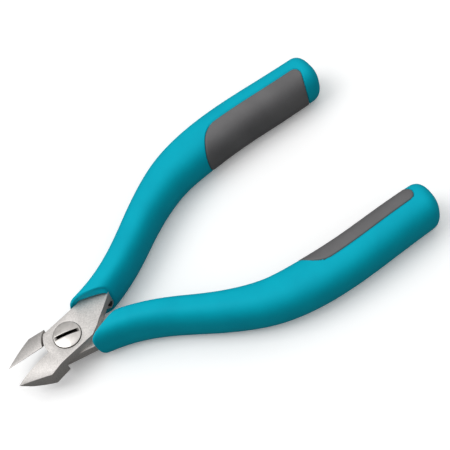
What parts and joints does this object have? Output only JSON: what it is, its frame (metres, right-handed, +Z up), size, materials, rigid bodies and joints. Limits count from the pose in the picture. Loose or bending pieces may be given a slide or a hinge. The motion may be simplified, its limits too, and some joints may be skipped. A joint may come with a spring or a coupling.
{
  "type": "diagonal cutting pliers",
  "caption": "Small tapered-head diagonal cutters with a screwed lap joint, opened by a concealed return spring, and long curved soft-grip handles with inset finger pads.",
  "frame": {"origin": "on the pivot axis, halfway through the thickness of the head", "axes": "+Y points at the jaw tips along the line between the two halves, +Z is up, out of the slotted screw head, and +X is on the side of the front half's handle"},
  "size_m": [0.0728, 0.1246, 0.0156],
  "materials": {
    "tool_steel": "satin ground tool steel",
    "screw_steel": "turned and polished steel",
    "spring_steel": "drawn spring wire",
    "stop_black": "moulded black elastomer",
    "grip_teal": "fine matte soft-touch moulding",
    "pad_grey": "fine matte moulding"
  },
  "bodies": {
    "rear_body": {"rear_half": "tool_steel", "pivot_screw": "screw_steel", "return_spring": "spring_steel", "rear_grip": "grip_teal", "rear_pad": "pad_grey"},
    "front_body": {"front_half": "tool_steel", "closing_stop": "stop_black", "front_grip": "grip_teal", "front_pad": "pad_grey"}
  },
  "joints": [
    {"name": "jaw_pivot", "type": "hinge", "parent": "rear_body", "child": "front_body", "pos_m": [0, 0, 0], "axis": [0, 0, 1], "range_deg": [-19, 0], "stiffness_Nm_per_rad": 0.25, "springref_deg": 20.05, "deforming": ["return_spring"]}
  ]
}
